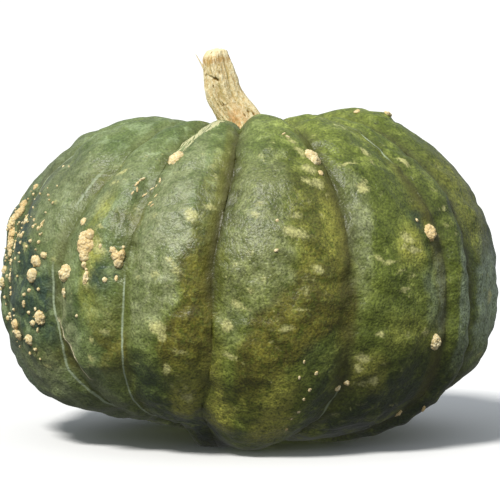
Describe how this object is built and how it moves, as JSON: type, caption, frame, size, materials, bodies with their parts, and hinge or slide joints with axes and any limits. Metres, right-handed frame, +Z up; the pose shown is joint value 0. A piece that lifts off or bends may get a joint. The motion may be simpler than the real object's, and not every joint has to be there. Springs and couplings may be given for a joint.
{
  "type": "pumpkin",
  "caption": "Round ribbed pumpkin with a warty dark green skin and a short corky stem that leans to one side, standing on its own underside.",
  "frame": {"origin": "on the surface that the fruit stands on, under the middle of its outline seen from above", "axes": "+Z up through the stem end, -Y toward the front, which has the deepest groove just left of its middle, +X to the right of that front"},
  "size_m": [0.238, 0.2274, 0.1857],
  "materials": {
    "skin": "waxy and half matt, dark green with paler mottles, a grey-green bloom and rough tan warts",
    "cork": "dry and matt, tan cork with lengthwise ridges and cracks"
  },
  "bodies": {
    "root": {"fruit": "skin", "stem": "cork"}
  },
  "joints": []
}
